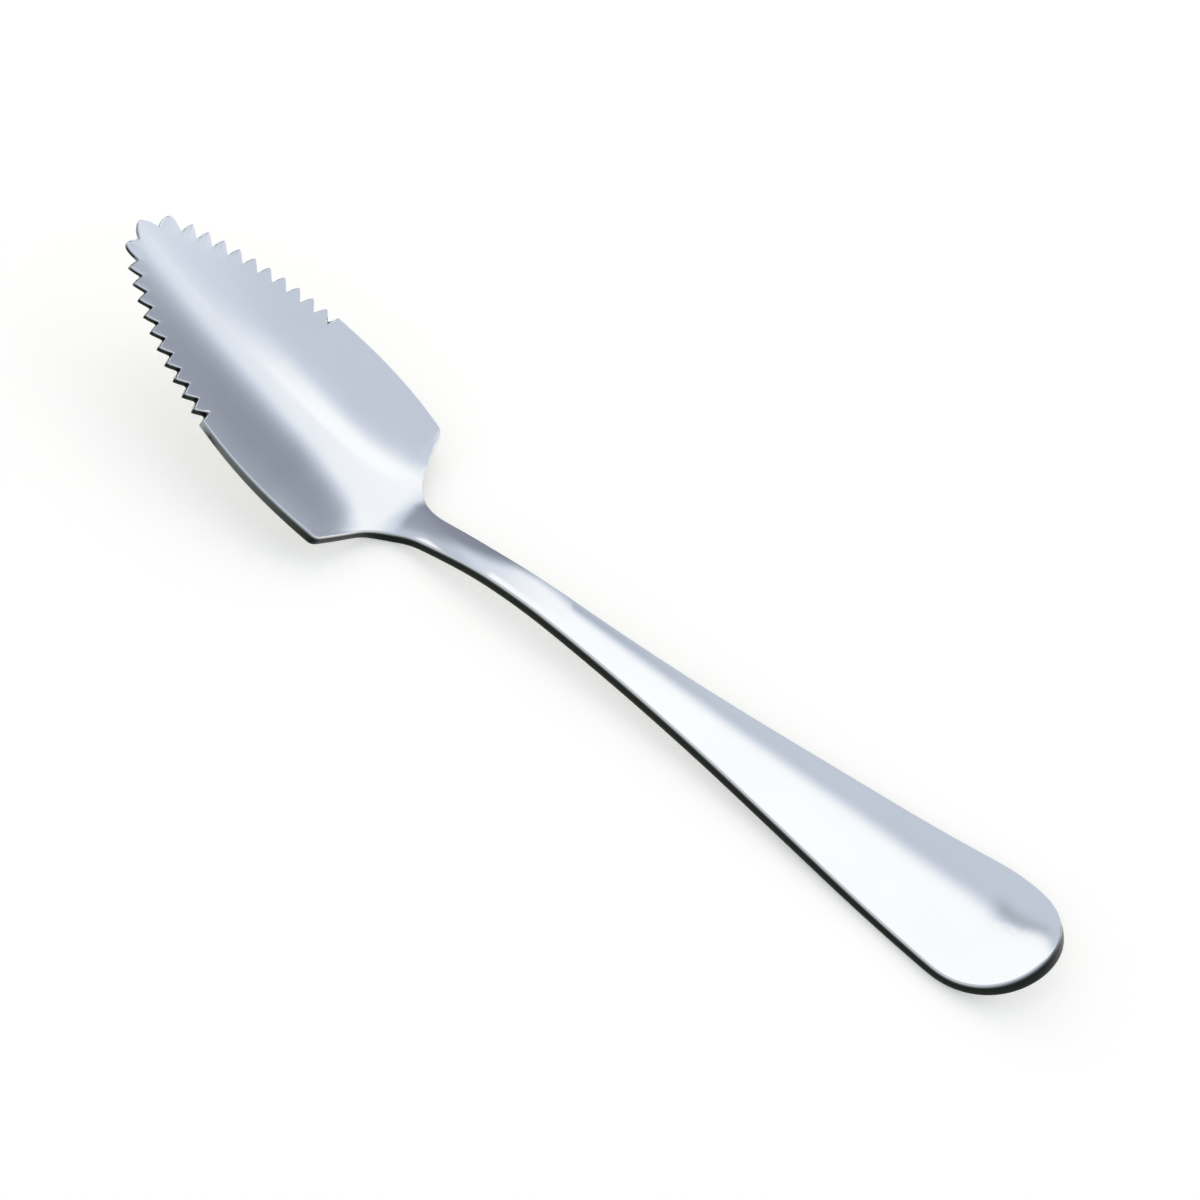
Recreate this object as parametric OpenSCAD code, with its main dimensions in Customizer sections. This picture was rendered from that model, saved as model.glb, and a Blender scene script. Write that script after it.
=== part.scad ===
// Grapefruit spoon, pressed from one piece of polished steel sheet: a pointed, toothed
// blade with a shallow trough, square shoulders, a narrow neck and a flat handle that
// widens to a round, upturned end.
//
// The flat blank comes first. A place on it is [along, across]: the distance from the tip
// along the sheet, and the distance from the middle line. The blank is then bent along its
// side profile, the blade is dished, and the spoon is laid down as it rests on a table,
// with its length along X, its upper side up and the middle of its length at X = 0.

/* [Blade] */
// Length of the blade along the sheet, from the tip to its rear corners
blade_len = 52.7; // [48:0.2:58]
// Half of the blade's greatest width
blade_half = 16.9; // [14:0.2:18]
// Distance from the tip to the blade's widest place
blade_widest = 40; // [36:0.5:44]
// Radius of the blunt nose that the tooth tips follow
nose_r = 7.3; // [5:0.1:8]
// Radius of the rear corners
corner_r = 1.8; // [1:0.1:3]

/* [Teeth] */
// Number of teeth on each side, next to the broad tooth at the tip
tooth_pairs = 11; // [8:1:13]
// Distance from tooth to tooth along the edge
tooth_pitch = 2.65; // [2.2:0.05:2.8]
// Depth of the notches
tooth_depth = 1.9; // [0.8:0.1:2]
// Roundness of the tooth tips, from 0 for straight flanks to 1 for round lobes
tooth_round_share = 0.6; // [0:0.05:1]
// Width of the broad tooth at the tip, along the edge
tip_tooth = 5.9; // [5:0.1:7]
// Width of the tooth on each side of it
next_tooth = 4.8; // [3.5:0.1:5]
// Length of the rise from the last notch to the smooth edge
last_rise = 0.8; // [0.5:0.1:1.3]

/* [Neck and handle] */
// Length of the shoulders, from the blade's corners to the root of the neck
shoulder_len = 5.2; // [4:0.2:8]
// Half width at the root of the neck
root_half = 3.3; // [3:0.1:4.5]
// Radius of the fillet between shoulder and neck
root_r = 8.8; // [4:0.5:9]
// Length from the neck's root to its narrowest place
neck_len = 15; // [12:0.2:18]
// Half width at the narrowest place
waist_half = 2.7; // [2.2:0.1:3.2]
// Radius of the neck's hollow sides
waist_r = 80; // [40:5:100]
// Length from the narrowest place to where the handle starts to widen
shank_len = 27.5; // [26:0.5:34]
// Half width where the handle starts to widen
shank_half = 3.3; // [2.8:0.1:4]
// Radius of the long curve into the widening sides
shank_r = 380; // [200:10:400]
// Length from there to the centre of the round end
taper_len = 60.1; // [52:0.2:70]
// Radius of the round end
end_r = 11.7; // [9:0.1:13]

/* [Side profile] */
// Slope of the sheet at the tip, in degrees, measured from the handle's straight run
tip_slope = -26; // [-32:0.5:-18]
// Slope at the back of the blade
heel_slope = -10.2; // [-15:0.5:-6]
// Slope of the neck
neck_slope = 13.5; // [10:0.5:20]
// Slope where the end starts to curl up
lift_slope = 4.8; // [2:0.2:7]
// Slope at the very end
end_slope = 40; // [20:1:42]
// Length of the long curve of the blade
blade_run = 56.4; // [52:0.2:60]
// Length of the bend at the heel
heel_run = 3; // [2:0.2:6]
// Length of the neck's straight rise
neck_run = 6.4; // [2:0.2:8]
// Length of the curve from neck to handle
arch_run = 21; // [15:0.5:26]
// Length of the handle's straight run
handle_run = 54; // [44:1:56]
// Length of the slight lift behind it
lift_run = 19.5; // [12:0.5:20]

/* [Cross section] */
// Slope of the blade's two wings, in mm of rise per mm across
wing_slope = 0.215; // [0.12:0.005:0.3]
// Half width over which the trough's bottom is rounded
trough_round = 6.5; // [3:0.5:9]
// Distance from the tip to where the trough's bottom starts to open into a flat
flat_from = 34; // [26:1:40]
// Half width of that flat at the back of the blade
heel_flat = 5; // [2:0.5:8]
// Distance from the tip to where the wings start to run out
wing_full = 51; // [46:0.5:53]
// Length over which the wings run out
wing_out = 14; // [10:0.5:16]
// Radius of the crowned upper side at the neck's root, across
neck_crown_r = 15; // [12:1:40]
// Radius of that crown at the round end
end_crown_r = 115; // [60:4:200]
// Length over which the crown starts, behind the neck's root
crown_lead = 6; // [2:0.5:12]
// Thickness at the tip
tip_t = 0.8; // [0.8:0.1:1.4]
// Thickness at the back of the blade
blade_t = 1.9; // [1:0.1:2]
// Thickness of the neck
neck_t = 2.2; // [1.4:0.1:2.6]
// Thickness of the end, in the middle
end_t = 2.5; // [1.6:0.1:2.8]
// Size of the rounding along every edge
edge_round = 0.22; // [0.1:0.02:0.3]

/* [Hidden] */

// Distances along the sheet
root_at = blade_len + shoulder_len;
waist_at = root_at + neck_len;
shank_at = waist_at + shank_len;
end_at = shank_at + taper_len;
blank_len = end_at + end_r;

// The edge of the blade is a nose arc that runs into one long side arc on each side.
// The side arc's radius makes the two tangent.
side_r = (blade_widest ^ 2 + blade_half ^ 2 - 2 * nose_r * blade_widest) / (blade_half - nose_r) / 2;
side_c = [blade_widest, blade_half - side_r];
nose_c = [nose_r, 0];
// Angle from straight across, at which the nose arc meets the side arc
join_angle = atan2(nose_c.y - side_c.y, side_c.x - nose_c.x);
nose_arc = nose_r * join_angle * PI / 180;
corner_angle = asin((blade_len - blade_widest) / side_r);
side_arc = side_r * (90 - join_angle + corner_angle) * PI / 180;

// Half of the toothed edge, from the middle of the tip to the last notch
toothed = tip_tooth / 2 + next_tooth + (tooth_pairs - 1) * tooth_pitch;
// Depth below the tooth tips to which the teeth shape the mesh
tooth_root = 1.6 * tooth_depth;

// Steps in half a tooth, and shares at which they lie
half_steps = 4;
// Greatest distances between the mesh's lines, along the blade and along the handle
side_step = 2.6;
shank_step = 3;
// Points on the fillets at corner, neck root, waist and shank, and on the round end
corner_n = 5;
root_n = 9;
waist_n = 3;
shank_n = 14;
end_n = 14;
// Places of the mesh's rows across, from the middle line to the margin
row_share = [0, 0.1, 0.21, 0.33, 0.46, 0.61, 0.79, 1];
// Place of the margin, from the middle line to the smooth edge
margin_share = 0.86;
// How far the mesh's cross lines lean, at the tip and at the round end
nose_lean_share = 0.15;
nose_fan_share = 0.46;
end_lean_share = 0.6;
end_fan_share = 2;

function mix(a, b, t) = a + (b - a) * t;
function unit(v) = v / norm(v);
function last(list) = list[len(list) - 1];

// Smooth edge of the blade at a distance from the tip, and its outward direction
function nose_or_side(d) =
    d < nose_arc
    ? [nose_c, nose_r, 180 - d / nose_r * 180 / PI]
    : [side_c, side_r, 180 - join_angle - (d - nose_arc) / side_r * 180 / PI];
function edge_out(d) =
    let (arc = nose_or_side(d))
    [cos(arc[2]), sin(arc[2])];
function edge_at(d, inset = 0) =
    let (arc = nose_or_side(d))
    arc[0] + (arc[1] - inset) * [cos(arc[2]), sin(arc[2])];

// Notch bottoms along the edge. Between two of them a tooth rises to its round tip.
function notch_at(i) = i == 0 ? tip_tooth / 2 : tip_tooth / 2 + next_tooth + (i - 1) * tooth_pitch;
function half_tooth_ends(i) =
    i == 0
    ? [0, notch_at(0)]
    : let (tooth = ceil(i / 2), low = notch_at(tooth - 1), high = notch_at(tooth), tip = (low + high) / 2)
      i % 2 == 1 ? [low, tip] : [tip, high];
half_teeth = 1 + 2 * tooth_pairs;
// Height of a tooth over the notch bottoms, with a pointed notch and a rounded tip
function tooth_rise(share) = tooth_depth * mix(share, sin(90 * share), tooth_round_share);
function tooth_point(i, step) =
    let (ends = half_tooth_ends(i), share = step / half_steps, rising = i % 2 == 1)
    edge_at(mix(ends[0], ends[1], share), tooth_depth - tooth_rise(rising ? share : 1 - share));
toothed_edge = [
    for (i = [0:half_teeth - 1]) for (step = [0:half_steps - 1]) tooth_point(i, step),
    tooth_point(half_teeth - 1, half_steps)
];

// Smooth edge from the last notch to the corner's fillet
side_start = toothed + last_rise;
side_end = nose_arc + side_arc - corner_r;
side_n = ceil((side_end - side_start) / side_step);
side_edge = [for (i = [0:side_n]) edge_at(mix(side_start, side_end, i / side_n))];

// Fillet of a radius at b, between the straights to a and to c
function fillet(a, b, c, r, n) =
    let (
        to_a = unit(a - b),
        to_c = unit(c - b),
        half = acos(to_a * to_c) / 2,
        centre = b + unit(to_a + to_c) * r / sin(half),
        from = b + to_a * r / tan(half) - centre,
        to = b + to_c * r / tan(half) - centre,
        turn = 180 - 2 * half,
        way = sign(from.x * to.y - from.y * to.x)
    )
    [
        for (i = [0:n])
            let (angle = way * turn * i / n)
            centre + [from.x * cos(angle) - from.y * sin(angle), from.x * sin(angle) + from.y * cos(angle)]
    ];
// Inner points of a straight between two ends
function straight(a, b, step) =
    let (n = max(1, ceil(norm(b - a) / step)))
    [for (i = [1:1:n - 1]) mix(a, b, i / n)];

// Shoulder, neck and handle: corners with fillets, then the round end
corner = edge_at(nose_arc + side_arc);
along_side = [-cos(corner_angle), sin(corner_angle)];
root = [root_at, root_half];
waist = [waist_at, waist_half];
shank = [shank_at, shank_half];
end_c = [end_at, 0];
end_gap = end_c - shank;
taper_angle = asin(end_r / norm(end_gap)) - atan2(shank_half, end_gap.x);
taper_end = end_c + end_r * [-sin(taper_angle), cos(taper_angle)];
corner_edge = fillet(corner + along_side * blade_len, corner, root, corner_r, corner_n);
root_edge = fillet(corner, root, waist, root_r, root_n);
waist_edge = fillet(root, waist, shank, waist_r, waist_n);
shank_edge = fillet(waist, shank, taper_end, shank_r, shank_n);
end_edge = [
    for (i = [0:end_n])
        let (angle = (90 + taper_angle) * (1 - i / end_n))
        end_c + end_r * [cos(angle), sin(angle)]
];
plain_edge = concat(
    side_edge,
    corner_edge,
    straight(last(corner_edge), root_edge[0], side_step),
    root_edge,
    straight(last(root_edge), waist_edge[0], shank_step),
    waist_edge,
    straight(last(waist_edge), shank_edge[0], shank_step),
    shank_edge,
    straight(last(shank_edge), taper_end, shank_step),
    end_edge
);
half_edge = concat(toothed_edge, plain_edge);

// The mesh's cross lines run from the middle line to the margin, one for each end of a
// half tooth and one for each point of the plain edge.
lines = half_teeth + len(plain_edge);
function rim_of(k) = k <= half_teeth ? k * half_steps : half_teeth * half_steps + k - half_teeth;
rim_n = 2 * rim_of(lines);
function lean(along) =
    along < blade_len
    ? blade_len * nose_lean_share * max(0, 1 - along / blade_len / nose_fan_share) ^ 2
    : -end_r * end_lean_share * max(0, 1 - (blank_len - along) / end_r / end_fan_share) ^ 2;
function margin_point(k) =
    k <= half_teeth
    ? edge_at(k == 0 ? 0 : half_tooth_ends(k - 1)[1], tooth_root)
    : let (p = half_edge[rim_of(k)]) mix([p.x + lean(p.x), 0], p, margin_share);
function spine_point(k) =
    k <= half_teeth
    ? let (p = edge_at(k == 0 ? 0 : half_tooth_ends(k - 1)[1])) [p.x + lean(p.x), 0]
    : let (p = half_edge[rim_of(k)]) [p.x + lean(p.x), 0];

// Loops go round the blank, out along one side and back along the other
function mirror_half(half) =
    concat(half, [for (i = [len(half) - 2:-1:1]) [half[i].x, -half[i].y]]);
rim = mirror_half(half_edge);
function rim_out(i) =
    let (d = rim[(i + 1) % rim_n] - rim[(i + rim_n - 1) % rim_n])
    unit([-d.y, d.x]);
rim_inner = [for (i = [0:rim_n - 1]) rim[i] - rim_out(i) * edge_round];
spine_row = [for (k = [0:lines]) spine_point(k)];
margin_half = [for (k = [0:lines]) margin_point(k)];
function row(share) = mirror_half([for (k = [0:lines]) mix(spine_row[k], margin_half[k], share)]);
row_n = len(row_share) - 1;

// Side profile, as runs of [length, slope at its end]
profile = [
    [blade_run, heel_slope],
    [heel_run, neck_slope],
    [neck_run, neck_slope],
    [arch_run, 0],
    [handle_run, 0],
    [lift_run, lift_slope],
    [blank_len - blade_run - heel_run - neck_run - arch_run - handle_run - lift_run, end_slope]
];
// [x, z, slope] on the profile. Each run is an arc, or straight where the slope stays.
function on_profile(along, i = 0, x = 0, z = 0, slope = tip_slope) =
    let (
        run = profile[i][0],
        done = along <= run || i == len(profile) - 1,
        part = done ? along : run,
        turn = (profile[i][1] - slope) * part / run,
        chord = abs(turn) < 0.001 ? part : part * sin(turn / 2) * 360 / (turn * PI),
        x_end = x + chord * cos(slope + turn / 2),
        z_end = z + chord * sin(slope + turn / 2)
    )
    done ? [x_end, z_end, slope + turn] : on_profile(along - run, i + 1, x_end, z_end, profile[i][1]);

// Share of the wings that is left: all of it on the blade, nothing behind the heel
function wing_left(along) = (1 + cos(180 * min(1, max(0, (along - wing_full) / wing_out)))) / 2;
function flat_half(along) = heel_flat * (max(0, along - flat_from) / (blade_len - flat_from)) ^ 2;
// Rise of the dished blade over the middle line, and its slope across
function dish(along, across) =
    let (flat = flat_half(along))
    wing_slope * wing_left(along) * (
        (norm([across - flat, trough_round]) + norm([across + flat, trough_round])) / 2
        - norm([flat, trough_round])
    );
function dish_slope(along, across) =
    let (flat = flat_half(along), near = across - flat, far = across + flat)
    wing_slope * wing_left(along) * (near / norm([near, trough_round]) + far / norm([far, trough_round])) / 2;
// Fall of the crowned upper side towards the edges
function crown(along, across) =
    let (behind = max(0, along - root_at), share = behind / (end_at - root_at))
    across ^ 2 / mix(neck_crown_r, end_crown_r, share) / 2 * min(1, behind / crown_lead);
function thickness(along) =
    lookup(along, [[0, tip_t], [blade_len, blade_t], [waist_at, neck_t], [end_at, end_t]]);

// Places a point of the blank on the bent sheet, at a height over its upper side
function bend(p, height) =
    let (
        at = on_profile(p.x),
        tilt = atan(dish_slope(p.x, p.y)),
        up = dish(p.x, p.y) + height * cos(tilt),
        out = p.y - height * sin(tilt)
    )
    [at.x - up * sin(at.z), out, at.y + up * cos(at.z)];
function upper(points, drop = 0) = [for (p = points) bend(p, -crown(p.x, p.y) - drop)];
function lower(points, rise = 0) = [for (p = points) bend(p, rise - thickness(p.x))];

sheet_points = concat(
    upper(spine_row),
    [for (j = [1:row_n]) each upper(row(row_share[j]))],
    upper(rim_inner),
    upper(rim, edge_round),
    lower(rim, edge_round),
    lower(rim_inner),
    [for (j = [row_n:-1:1]) each lower(row(row_share[j]))],
    lower(spine_row)
);

// The spoon rests on its heel and on the back of the handle, which gives the angle at which it lies
under = lower(spine_row);
front_under = [for (k = [0:lines]) if (spine_row[k].x < waist_at) under[k]];
back_under = [for (k = [0:lines]) if (spine_row[k].x > waist_at) under[k]];
rest_angle = max([for (a = front_under) min([for (b = back_under) atan2(b.z - a.z, b.x - a.x)])]);
function turned(p) =
    [p.x * cos(rest_angle) + p.z * sin(rest_angle), p.y, p.z * cos(rest_angle) - p.x * sin(rest_angle)];
turned_points = [for (p = sheet_points) turned(p)];
middle_x = (min([for (p = turned_points) p.x]) + max([for (p = turned_points) p.x])) / 2;
lowest_z = min([for (p = turned_points) p.z]);
spoon_points = [for (p = turned_points) p - [middle_x, 0, lowest_z]];

// Numbers of the mesh's points, on the upper or the lower side
ring_n = 2 * lines;
side_count = lines + 1 + row_n * ring_n + rim_n;
point_count = 2 * side_count + 2 * rim_n;
function fold(i) = i <= lines ? i : ring_n - i;
function rim_place(i) = i <= lines ? rim_of(i) : rim_n - rim_of(ring_n - i);
// Point i of row j, where row 0 is the middle line
function top_point(j, i) = j == 0 ? fold(i % ring_n) : lines + 1 + (j - 1) * ring_n + i % ring_n;
function top_rim(i) = lines + 1 + row_n * ring_n + i % rim_n;
function low_point(j, i) =
    j == 0 ? point_count - lines - 1 + fold(i % ring_n) : point_count - lines - 1 - j * ring_n + i % ring_n;
function wall_point(level, i) = lines + 1 + row_n * ring_n + level * rim_n + i % rim_n;

// Two triangles of a four-sided patch, in one of two ways
function patch(a, b, c, d, first) = first ? [[a, b, c], [a, c, d]] : [[a, b, d], [b, c, d]];
// The split that suits patch i of a loop of n: the same on both halves of the spoon, and
// turned round halfway to the end, where the lines lean the other way
function first_split(i, n) = (i < n / 2) == (min(i, n - 1 - i) < n / 4);
function flip(faces) = [for (f = faces) [f[2], f[1], f[0]]];
function drawn(faces) = [for (f = faces) if (f[0] != f[1] && f[1] != f[2] && f[2] != f[0]) f];

top_rows = [
    for (j = [0:row_n - 1]) for (i = [0:ring_n - 1])
        each patch(
            top_point(j, i), top_point(j + 1, i),
            top_point(j + 1, i + 1), top_point(j, i + 1), first_split(i, ring_n)
        )
];
low_rows = [
    for (j = [0:row_n - 1]) for (i = [0:ring_n - 1])
        each patch(
            low_point(j, i), low_point(j + 1, i),
            low_point(j + 1, i + 1), low_point(j, i + 1), first_split(i, ring_n)
        )
];
// Strip from the margin to the rim: a fan over each half tooth, a plain patch elsewhere
function strip(inner_a, inner_b, rim_a, rim_b, level) =
    let (middle = floor((rim_a + rim_b) / 2))
    concat(
        [for (i = [rim_a:1:middle - 1]) [inner_a, wall_point(level, i), wall_point(level, i + 1)]],
        [[inner_a, wall_point(level, middle), inner_b]],
        [for (i = [middle:1:rim_b - 1]) [inner_b, wall_point(level, i), wall_point(level, i + 1)]]
    );
top_strips = [
    for (i = [0:ring_n - 1])
        each strip(top_point(row_n, i), top_point(row_n, i + 1), rim_place(i), rim_place(i + 1), 0)
];
low_strips = [
    for (i = [0:ring_n - 1])
        each strip(low_point(row_n, i), low_point(row_n, i + 1), rim_place(i), rim_place(i + 1), 3)
];
walls = [
    for (level = [0:2]) for (i = [0:rim_n - 1])
        each patch(
            wall_point(level, i), wall_point(level + 1, i),
            wall_point(level + 1, i + 1), wall_point(level, i + 1), first_split(i, rim_n)
        )
];

module spoon() {
    color([0.80, 0.82, 0.85])
    polyhedron(
        points = spoon_points,
        faces = drawn(concat(top_rows, top_strips, walls, flip(low_rows), flip(low_strips))),
        convexity = 6
    );
}

spoon();
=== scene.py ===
import math

import bmesh
import bpy
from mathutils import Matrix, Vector
from mathutils.bvhtree import BVHTree


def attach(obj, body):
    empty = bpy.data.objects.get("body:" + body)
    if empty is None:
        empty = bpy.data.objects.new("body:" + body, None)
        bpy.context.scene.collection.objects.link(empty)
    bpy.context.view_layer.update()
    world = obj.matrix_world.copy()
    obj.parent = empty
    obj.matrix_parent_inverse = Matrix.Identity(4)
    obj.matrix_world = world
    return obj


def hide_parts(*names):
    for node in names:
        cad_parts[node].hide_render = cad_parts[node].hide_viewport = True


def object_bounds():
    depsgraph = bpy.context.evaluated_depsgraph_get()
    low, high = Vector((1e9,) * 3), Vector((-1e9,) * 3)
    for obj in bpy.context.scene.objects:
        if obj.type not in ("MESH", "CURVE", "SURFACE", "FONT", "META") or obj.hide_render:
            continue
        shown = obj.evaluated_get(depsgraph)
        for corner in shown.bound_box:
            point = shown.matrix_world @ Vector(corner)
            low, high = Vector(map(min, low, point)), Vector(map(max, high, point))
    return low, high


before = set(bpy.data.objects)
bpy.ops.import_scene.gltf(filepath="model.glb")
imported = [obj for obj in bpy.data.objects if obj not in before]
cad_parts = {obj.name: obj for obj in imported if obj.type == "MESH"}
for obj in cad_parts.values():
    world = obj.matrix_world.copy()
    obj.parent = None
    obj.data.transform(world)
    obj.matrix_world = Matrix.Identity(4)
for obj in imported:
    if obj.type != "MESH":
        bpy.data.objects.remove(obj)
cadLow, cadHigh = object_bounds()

print("stage: frame loaded")


# small helpers for shader nodes
def addNode(tree, kind, place, **settings):
    node = tree.nodes.new(kind)
    node.location = place
    for name, value in settings.items():
        setattr(node, name, value)
    return node


def mathNode(tree, place, operation, first, second=None, clamp=False):
    node = addNode(tree, "ShaderNodeMath", place, operation=operation, use_clamp=clamp)
    for socket, value in zip(node.inputs, (first, second)):
        if value is None:
            continue
        if isinstance(value, (int, float)):
            socket.default_value = value
        else:
            tree.links.new(value, socket)
    return node.outputs[0]


def mixColour(tree, place, factor, first, second):
    node = addNode(tree, "ShaderNodeMix", place, data_type="RGBA")
    sockets = node.inputs[0], node.inputs[6], node.inputs[7]
    for socket, value in zip(sockets, (factor, first, second)):
        if isinstance(value, bpy.types.NodeSocket):
            tree.links.new(value, socket)
        else:
            socket.default_value = value
    return node.outputs[2]


def emptyMaterial(name):
    material = bpy.data.materials.new(name)
    material.use_nodes = True
    material.node_tree.nodes.clear()
    return material, material.node_tree


# the spoon's steel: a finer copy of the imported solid

spoonShape = {
    "mergeGap": 2e-6,          # metres between points that are one
    "quadTurn": math.radians(38),   # greatest fold inside a four-sided face
    "quadSkew": math.radians(70),
    "endKeep": 3e-3,           # the sheet's normal is taken at least this far inside both ends
    "offSeam": 1e-5,           # and this far beside the middle line, clear of its edges
    "lookFrom": 1,             # height from which the sheet is looked at
    "wallSlant": 0.5,          # a face is cut edge below this share of the sheet's normal
    "notchFold": math.radians(60),
    "rimTopShadePaint": 0.6,             # painted shade at the upper rim of the cut edge, a painted dark reflection
    "plainSlant": 0.35,        # the edge counts as plain below this turn towards the tip
    "frontPaintedLight": 0.25,         # painted light: the plain cut edge is painted paler towards the blade's front
    "plainFrom": -0.034,       # from here on the spoon's length, x in metres
    "plainTo": -0.055,         # to here
    "levels": 2,               # of subdivision
}


def makeSpoon():
    steel = bmesh.new()
    steel.from_mesh(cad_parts["spoon"].data)
    bmesh.ops.remove_doubles(steel, verts=steel.verts, dist=spoonShape["mergeGap"])
    bmesh.ops.join_triangles(
        steel,
        faces=steel.faces,
        angle_face_threshold=spoonShape["quadTurn"],
        angle_shape_threshold=spoonShape["quadSkew"],
    )
    bmesh.ops.recalc_face_normals(steel, faces=steel.faces)
    steel.normal_update()
    print("stage: spoon copied,", len(steel.faces), "faces")

    # the sheet's own normal under each place, taken on the middle line from above
    tree = BVHTree.FromBMesh(steel)

    def sheetNormal(x):
        inside = min(max(x, cadLow.x + spoonShape["endKeep"]), cadHigh.x - spoonShape["endKeep"])
        above = Vector((inside, spoonShape["offSeam"], spoonShape["lookFrom"]))
        return tree.ray_cast(above, Vector((0, 0, -1)))[1]

    # all layers come first, because a new layer unties the points gathered before it
    cut = steel.verts.layers.float.new("cutEdgePaintedShadeAndRough")
    pale = steel.verts.layers.float.new("paintedWallLight")
    edgeCrease = steel.edges.layers.float.new("crease_edge")
    vertCrease = steel.verts.layers.float.new("crease_vert")

    # the cut edge: painted shade (a painted dark reflection) from its lower rim up, painted light
    # where it faces the tip
    wall = {
        face for face in steel.faces
        if abs(face.normal.dot(sheetNormal(face.calc_center_median().x))) < spoonShape["wallSlant"]
    }
    edgeVerts = {}
    for face in wall:
        for vert in face.verts:
            edgeVerts[vert] = edgeVerts.get(vert, Vector()) + face.normal
    for vert in edgeVerts:
        rims = [face for face in vert.link_faces if face not in wall]
        lean = sum((face.normal for face in rims), Vector()).dot(sheetNormal(vert.co.x))
        # painted shade: this value darkens the cut edge as a painted dark reflection
        vert[cut] = spoonShape["rimTopShadePaint"] if lean > 0 else 1
        if lean < 0:
            for corner in (corner for face in rims for corner in face.verts):
                corner[cut] = 1
    for vert, outward in edgeVerts.items():
        slant = -outward.normalized().x
        plainRun = spoonShape["plainTo"] - spoonShape["plainFrom"]
        front = (vert.co.x - spoonShape["plainFrom"]) / plainRun
        front = max(0, front) if front < 1 else 0
        plain = abs(slant) < spoonShape["plainSlant"]
        # painted light: flanks facing the tip, and the plain edge at the blade's front, are painted
        # paler
        vert[pale] = spoonShape["frontPaintedLight"] * front if plain else max(0, slant)

    # rim and notches keep a sharp line when the mesh is smoothed
    notches = 0
    for edge in steel.edges:
        beside = sum(face in wall for face in edge.link_faces)
        if beside == 0 and not any(vert in edgeVerts for vert in edge.verts):
            onRim = any(vert in edgeVerts for face in edge.link_faces for vert in face.verts)
            edge[edgeCrease] = float(onRim)
            edge.smooth = not onRim
        if beside != 2:
            continue
        if edge.calc_face_angle(0) < spoonShape["notchFold"]:
            continue
        notches += 1
        edge[edgeCrease] = 1
        for vert in edge.verts:
            for spoke in vert.link_edges:
                if not any(face in wall for face in spoke.link_faces):
                    spoke[edgeCrease] = 1
                    spoke.other_vert(vert)[vertCrease] = 1
    print("stage: wall faces", len(wall), "notch folds", notches)

    mesh = bpy.data.meshes.new("spoonSteel")
    steel.to_mesh(mesh)
    steel.free()
    for polygon in mesh.polygons:
        polygon.use_smooth = True
    spoon = bpy.data.objects.new("spoonSteel", mesh)
    bpy.context.scene.collection.objects.link(spoon)
    smooth = spoon.modifiers.new("smooth", "SUBSURF")
    smooth.levels = smooth.render_levels = spoonShape["levels"]
    return spoon


spoon = makeSpoon()
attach(spoon, "root")
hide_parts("spoon")


# polished stainless steel, with painted shade and painted light on its cut edge

steelLook = {
    "bright": (0.86, 0.875, 0.89, 1),
    "dull": (0.80, 0.815, 0.835, 1),
    # painted light: the paler colour for cut edge that faces the tip or lies at the blade's front
    "paintedLightColour": (0.55, 0.60, 0.58, 1),
    # painted shade: a near-black colour that stands in for the dark surroundings mirrored in the
    # cut edge
    "paintedShadeColour": (0.013, 0.017, 0.014, 1),
    "shadeAndRoughMask": (0.15, 0.7),    # values at which the polished rim ends and the cut edge's painted shade and rougher finish are full
    "roughness": 0.085,
    "roughnessPlay": 0.05,
    "cutRoughness": 0.32,
    "lines": 2600,             # grain lines to the metre
    "patches": 70,
    "bumpStrength": 0.12,
    "bumpDistance": 2e-6,
}
grainLook = {
    "stretch": (0.03, 1, 1),   # draws the lines out along the spoon
    "lineDetail": 5,
    "lineRoughness": 0.65,
    "cloudDetail": 3,
}


def makeGrainGroup():
    group = bpy.data.node_groups.new("lengthwiseGrain", "ShaderNodeTree")
    group.interface.new_socket("Lines", in_out="INPUT", socket_type="NodeSocketFloat")
    group.interface.new_socket("Patches", in_out="INPUT", socket_type="NodeSocketFloat")
    group.interface.new_socket("Grain", in_out="OUTPUT", socket_type="NodeSocketFloat")
    group.interface.new_socket("Cloud", in_out="OUTPUT", socket_type="NodeSocketFloat")
    given = addNode(group, "NodeGroupInput", (-900, 0))
    place = addNode(group, "ShaderNodeTexCoord", (-900, 200))
    stretch = addNode(group, "ShaderNodeMapping", (-700, 200))
    stretch.inputs["Scale"].default_value = grainLook["stretch"]
    group.links.new(place.outputs["Object"], stretch.inputs["Vector"])
    lines = addNode(group, "ShaderNodeTexNoise", (-480, 200))
    lines.inputs["Detail"].default_value = grainLook["lineDetail"]
    lines.inputs["Roughness"].default_value = grainLook["lineRoughness"]
    group.links.new(stretch.outputs["Vector"], lines.inputs["Vector"])
    group.links.new(given.outputs["Lines"], lines.inputs["Scale"])
    cloud = addNode(group, "ShaderNodeTexNoise", (-480, -100))
    cloud.inputs["Detail"].default_value = grainLook["cloudDetail"]
    group.links.new(place.outputs["Object"], cloud.inputs["Vector"])
    group.links.new(given.outputs["Patches"], cloud.inputs["Scale"])
    result = addNode(group, "NodeGroupOutput", (-200, 0))
    group.links.new(lines.outputs["Fac"], result.inputs["Grain"])
    group.links.new(cloud.outputs["Fac"], result.inputs["Cloud"])
    return group


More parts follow.
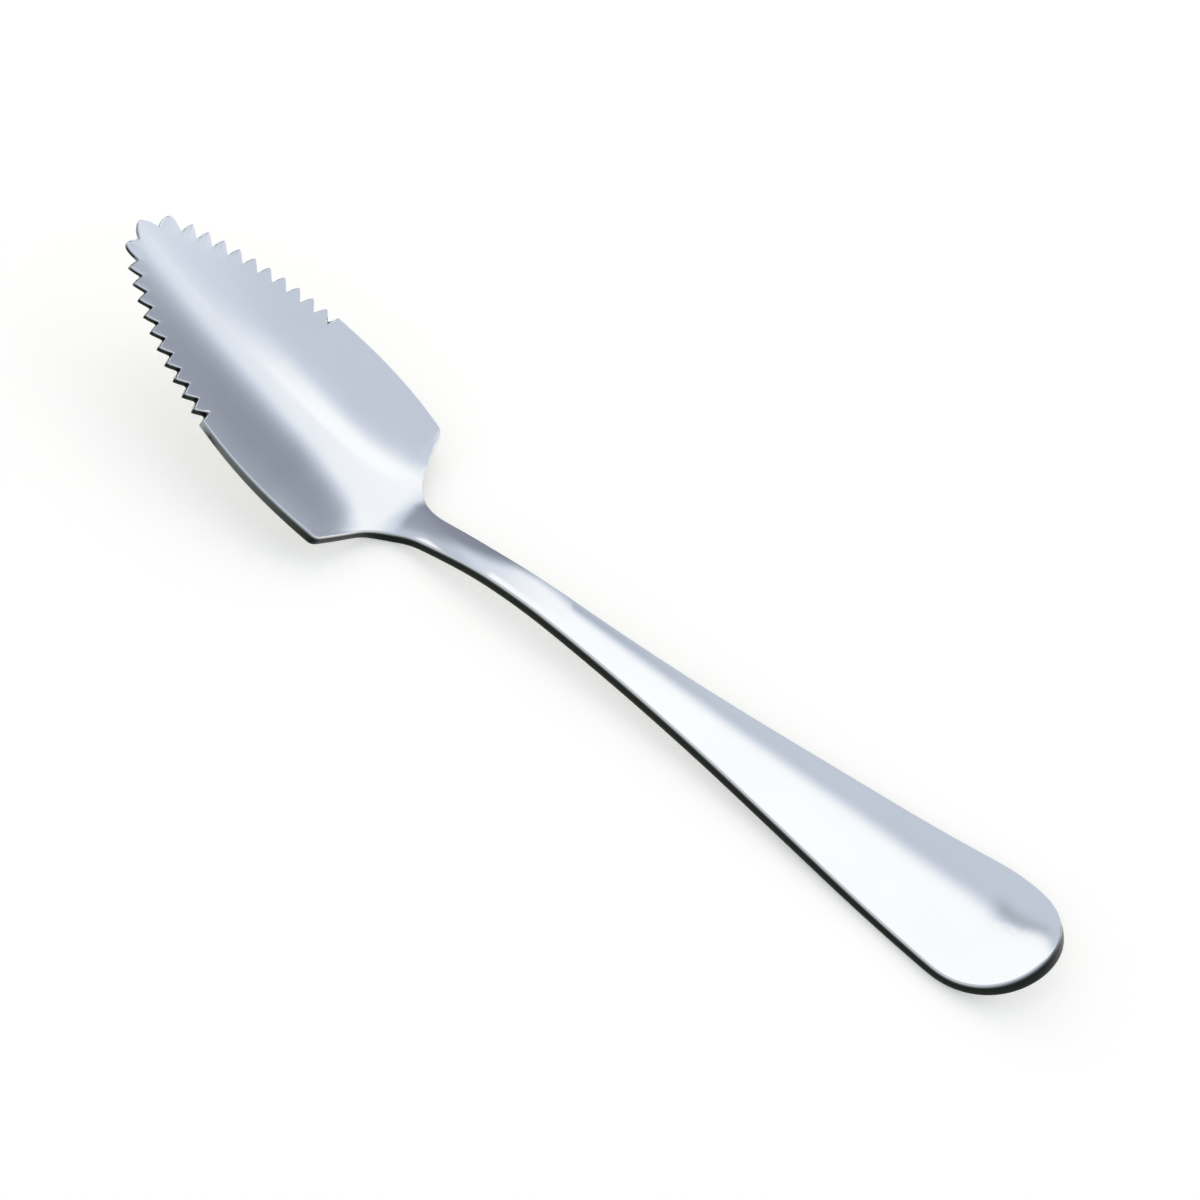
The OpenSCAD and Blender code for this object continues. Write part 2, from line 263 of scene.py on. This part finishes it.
def makeSteel():
    material, tree = emptyMaterial("polishedSteel")
    grain = addNode(tree, "ShaderNodeGroup", (-1100, 0), node_tree=makeGrainGroup())
    grain.inputs["Lines"].default_value = steelLook["lines"]
    grain.inputs["Patches"].default_value = steelLook["patches"]
    cut = addNode(tree, "ShaderNodeAttribute", (-1100, 300), attribute_name="cutEdgePaintedShadeAndRough")
    pale = addNode(tree, "ShaderNodeAttribute", (-1100, 500), attribute_name="paintedWallLight")

    # a thin line of the rounded rim stays polished; the rest of the cut edge gets painted shade, a
    # painted dark reflection, and a rougher finish
    edge = addNode(tree, "ShaderNodeMapRange", (-850, 300), interpolation_type="SMOOTHSTEP")
    edge.inputs["From Min"].default_value = steelLook["shadeAndRoughMask"][0]
    edge.inputs["From Max"].default_value = steelLook["shadeAndRoughMask"][1]
    tree.links.new(cut.outputs["Fac"], edge.inputs["Value"])
    mask = edge.outputs["Result"]

    cloud, slant = grain.outputs["Cloud"], pale.outputs["Fac"]
    face = mixColour(tree, (-600, 100), cloud, steelLook["dull"], steelLook["bright"])
    # painted light and painted shade: the cut edge's colour stands in for what it mirrors, pale
    # towards the tip, dark elsewhere
    side = mixColour(tree, (-600, 400), slant, steelLook["paintedShadeColour"], steelLook["paintedLightColour"])
    colour = mixColour(tree, (-350, 200), mask, face, side)

    play = mathNode(tree, (-850, -100), "ADD", grain.outputs["Grain"], cloud)
    play = mathNode(tree, (-700, -100), "SUBTRACT", play, 1)
    play = mathNode(tree, (-550, -100), "MULTIPLY", play, steelLook["roughnessPlay"])
    faceRough = mathNode(tree, (-400, -100), "ADD", play, steelLook["roughness"])
    coarser = steelLook["cutRoughness"] - steelLook["roughness"]
    extra = mathNode(tree, (-400, -250), "MULTIPLY", mask, coarser)
    rough = mathNode(tree, (-250, -100), "ADD", faceRough, extra, clamp=True)

    bump = addNode(tree, "ShaderNodeBump", (-250, -350))
    bump.inputs["Strength"].default_value = steelLook["bumpStrength"]
    bump.inputs["Distance"].default_value = steelLook["bumpDistance"]
    tree.links.new(grain.outputs["Grain"], bump.inputs["Height"])

    shader = addNode(tree, "ShaderNodeBsdfPrincipled", (0, 0))
    shader.inputs["Metallic"].default_value = 1
    tree.links.new(colour, shader.inputs["Base Color"])
    tree.links.new(rough, shader.inputs["Roughness"])
    tree.links.new(bump.outputs["Normal"], shader.inputs["Normal"])
    output = addNode(tree, "ShaderNodeOutputMaterial", (300, 0))
    tree.links.new(shader.outputs["BSDF"], output.inputs["Surface"])
    return material


steel = makeSteel()
spoon.data.materials.append(steel)
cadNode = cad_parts["spoon"]
cadNode.data.materials.clear()
cadNode.data.materials.append(steel)
print("stage: steel material made")


# studio: pale floor, pale air, a curved light tent and a graded grey card behind the blade

studio = {
    "floorSize": 3.0,
    "floorColour": (0.93, 0.885, 0.80, 1),
    "floorLift": 0.33,         # glow that only camera and mirrored rays see
    "worldColour": (0.62, 0.68, 0.77, 1),
    "worldStrength": 1,
    "glow": 1.15,              # full glow of tent and card
    # colour of tent and card at each share of the full glow
    "tints": (
        (0, (0, 0, 0, 1)),
        (0.27, (0.24, 0.26, 0.31, 1)),
        (0.70, (0.64, 0.69, 0.775, 1)),
        (1, (1, 1, 1, 1)),
    ),
}

# places in the tent: azimuth runs from +Y towards +X, elevation from the floor, in degrees
tent = {
    "distance": 1.5,
    "azimuths": (-85, 60),
    "elevations": (2, 86),
    "columns": 145,
    "rows": 126,
    "airLevel": 0.69,          # glow around the bright field
    # the bright field's low edge, as elevation at each azimuth, and half the width of its fade
    "lowEdge": ((-85, 16), (-46, 16), (-42, 21), (-40, 24.5), (-36, 31), (-32, 36), (-29, 38.7),
                (-25, 41.5), (-20, 44), (-14, 45.8), (-10, 46.3), (-6, 46.7), (-3, 46.7),
                (0, 46.3), (3, 45.8), (8, 45.5), (12, 40), (40, 36)),
    "lowFade": ((-85, 2), (-44, 2), (-36, 1.2), (-18, 1.4), (-10, 2.2), (8, 2), (14, 4), (40, 8)),
    # a dark seam under the low edge, where handle and end mirror it
    "seamDepth": 0.35,
    "seamHalf": 1.5,
    "seamUnder": 2.7,
    "seamFrom": ((-44, 0), (-38, 1), (-15, 1), (-9, 0.6), (-2, 0.1)),
    # right of this azimuth at each elevation the field is greyer, for the far side of the blade
    "rightEdge": ((12, 0), (38, 6), (44, 9.5), (50, 14.5), (56, 20), (62, 23), (86, 23)),
    "rightFade": 7,
    "asideLevel": ((40, 0.86), (50, 0.86), (56, 0.80), (62, 0.76), (68, 0.68)),
    # and bright once more further right, for the blade's tip
    "farEdge": ((50, 31), (56, 35), (60, 39), (66, 44)),
    "farFade": 4,
    "farLevel": 1.03,
    "highEdge": ((-85, 84), (-8, 84), (2, 65), (40, 64)),
    "highFade": 3,
    # the dark skirt round the foot
    "skirtTop": 12,
    "skirtFade": 3,
}
# the card stands upright behind blade and neck, dark at its foot and pale at its top edge:
# heights and levels are given at each x, in metres
card = {
    "columns": 30,
    "rows": 30,
    "footGap": 1e-3,
    "near": (-0.010, 0.045),
    "far": (-0.160, 0.119),
    "topEdge": ((-0.160, 0.215), (-0.100, 0.160), (-0.070, 0.125), (-0.062, 0.100), (-0.030, 0.085),
                (-0.010, 0.064)),
    "darkTo": ((-0.160, 0.158), (-0.125, 0.116), (-0.105, 0.090), (-0.085, 0.068),
               (-0.065, 0.061), (-0.055, 0.057), (-0.045, 0.052), (-0.035, 0.047),
               (-0.025, 0.042), (-0.015, 0.037)),
    "paleFrom": ((-0.160, 0.180), (-0.125, 0.138), (-0.105, 0.124), (-0.085, 0.108),
                 (-0.065, 0.095), (-0.055, 0.085), (-0.045, 0.074), (-0.035, 0.060),
                 (-0.025, 0.055), (-0.015, 0.055)),
    "darkLevel": ((-0.160, 0.52), (-0.125, 0.45), (-0.105, 0.40), (-0.085, 0.36),
                  (-0.075, 0.32), (-0.055, 0.30), (-0.010, 0.31)),
    "paleLevel": ((-0.160, 0.62), (-0.105, 0.68), (-0.085, 0.78), (-0.075, 0.84),
                  (-0.065, 0.87), (-0.055, 0.88), (-0.045, 0.94), (-0.035, 1.03),
                  (-0.015, 1.12)),
}


def makeFloor():
    grid = bmesh.new()
    bmesh.ops.create_grid(grid, x_segments=1, y_segments=1, size=studio["floorSize"] / 2)
    mesh = bpy.data.meshes.new("floor")
    grid.to_mesh(mesh)
    grid.free()
    floor = bpy.data.objects.new("floor", mesh)
    bpy.context.scene.collection.objects.link(floor)
    material, tree = emptyMaterial("paleFloor")
    matt = addNode(tree, "ShaderNodeBsdfDiffuse", (-200, 100))
    matt.inputs["Color"].default_value = studio["floorColour"]
    glow = addNode(tree, "ShaderNodeEmission", (-200, -100))
    rays = addNode(tree, "ShaderNodeLightPath", (-700, -100))
    direct, mirrored = rays.outputs["Is Camera Ray"], rays.outputs["Is Glossy Ray"]
    seen = mathNode(tree, (-500, -100), "MAXIMUM", direct, mirrored)
    seen = mathNode(tree, (-350, -100), "MULTIPLY", seen, studio["floorLift"])
    tree.links.new(seen, glow.inputs["Strength"])
    both = addNode(tree, "ShaderNodeAddShader", (0, 0))
    tree.links.new(matt.outputs[0], both.inputs[0])
    tree.links.new(glow.outputs[0], both.inputs[1])
    output = addNode(tree, "ShaderNodeOutputMaterial", (200, 0))
    tree.links.new(both.outputs[0], output.inputs["Surface"])
    mesh.materials.append(material)


def direction(azimuth, elevation):
    turn, rise = math.radians(azimuth), math.radians(elevation)
    level = math.cos(rise)
    return Vector((math.sin(turn) * level, math.cos(turn) * level, math.sin(rise)))


# the value of a table of places and values, drawn straight from place to place
def between(table, place):
    for (left, low), (right, high) in zip(table, table[1:]):
        if place <= right:
            return low + (high - low) * max(0, place - left) / (right - left)
    return table[-1][1]


def share(ends, part):
    return ends[0] + (ends[1] - ends[0]) * part


def ramp(value):
    value = min(1, max(0, value))
    return value * value * (3 - 2 * value)


# 0 outside an edge, 1 inside it, with a soft change over twice the half width
def inside(depth, half):
    return ramp((depth + half) / (2 * half))


def tentLevel(azimuth, elevation):
    right = inside(between(tent["rightEdge"], elevation) - azimuth, tent["rightFade"])
    level = share((between(tent["asideLevel"], elevation), studio["glow"]), right)
    far = inside(azimuth - between(tent["farEdge"], elevation), tent["farFade"])
    level = share((level, tent["farLevel"]), far)
    above = elevation - between(tent["lowEdge"], azimuth)
    low = inside(above, between(tent["lowFade"], azimuth))
    high = inside(between(tent["highEdge"], azimuth) - elevation, tent["highFade"])
    level = share((tent["airLevel"], level), low * high)
    seam = math.exp(-(((above + tent["seamUnder"]) / tent["seamHalf"]) ** 2))
    level *= 1 - tent["seamDepth"] * between(tent["seamFrom"], azimuth) * seam
    return level * inside(elevation - tent["skirtTop"], tent["skirtFade"])


def cardLevel(x, z):
    darkTo = between(card["darkTo"], x)
    part = ramp((z - darkTo) / (between(card["paleFrom"], x) - darkTo))
    return share((between(card["darkLevel"], x), between(card["paleLevel"], x)), part)


def makeSheet(name, plan, placeAndLevel):
    sheet = bmesh.new()
    bmesh.ops.create_grid(sheet, x_segments=plan["columns"], y_segments=plan["rows"], size=0.5)
    level = sheet.verts.layers.float.new("level")
    for vert in sheet.verts:
        vert.co, glow = placeAndLevel(vert.co.x + 0.5, vert.co.y + 0.5)
        vert[level] = glow / studio["glow"]
    mesh = bpy.data.meshes.new(name)
    sheet.to_mesh(mesh)
    sheet.free()
    piece = bpy.data.objects.new(name, mesh)
    piece.visible_camera = False
    bpy.context.scene.collection.objects.link(piece)
    mesh.materials.append(makeGlow(name))
    return piece


def makeGlow(name):
    material, tree = emptyMaterial(name)
    level = addNode(tree, "ShaderNodeAttribute", (-600, 0), attribute_name="level")
    tints = addNode(tree, "ShaderNodeValToRGB", (-400, 0))
    for stop in studio["tints"][1:-1]:
        tints.color_ramp.elements.new(stop[0])
    for element, (place, colour) in zip(tints.color_ramp.elements, studio["tints"]):
        element.position = place
        element.color = colour
    tree.links.new(level.outputs["Fac"], tints.inputs["Fac"])
    shine = addNode(tree, "ShaderNodeEmission", (-100, 0))
    shine.inputs["Strength"].default_value = studio["glow"]
    tree.links.new(tints.outputs["Color"], shine.inputs["Color"])
    output = addNode(tree, "ShaderNodeOutputMaterial", (100, 0))
    tree.links.new(shine.outputs[0], output.inputs["Surface"])
    material.cycles.emission_sampling = "NONE"
    return material


def tentPoint(across, up):
    azimuth = share(tent["azimuths"], across)
    elevation = share(tent["elevations"], up)
    return direction(azimuth, elevation) * tent["distance"], tentLevel(azimuth, elevation)


def cardPoint(across, up):
    x = share((card["far"][0], card["near"][0]), across)
    y = share((card["far"][1], card["near"][1]), across)
    z = card["footGap"] + between(card["topEdge"], x) * up
    return Vector((x, y, z)), cardLevel(x, z)


makeFloor()
makeSheet("lightTent", tent, tentPoint)
board = makeSheet("gradedCard", card, cardPoint)
board.visible_diffuse = False
board.visible_shadow = False

world = bpy.data.worlds.new("studioAir")
bpy.context.scene.world = world
world.use_nodes = True
air = world.node_tree.nodes["Background"]
air.inputs["Color"].default_value = studio["worldColour"]
air.inputs["Strength"].default_value = studio["worldStrength"]
print("stage: studio made")


# camera, at the photograph's viewing angle

cameraPlan = {
    "place": (0.069999, -0.223034, 0.262871),
    "turn": (40.4982, -15.2402, 33.7449),
    "lens": 72,
    "sensor": 36,
    "nearest": 0.01,
}
cameraData = bpy.data.cameras.new("camera")
cameraData.lens = cameraPlan["lens"]
cameraData.sensor_width = cameraPlan["sensor"]
cameraData.clip_start = cameraPlan["nearest"]
camera = bpy.data.objects.new("camera", cameraData)
camera.location = cameraPlan["place"]
camera.rotation_euler = [math.radians(angle) for angle in cameraPlan["turn"]]
bpy.context.scene.collection.objects.link(camera)
bpy.context.scene.camera = camera
bpy.context.scene.view_settings.view_transform = "Standard"
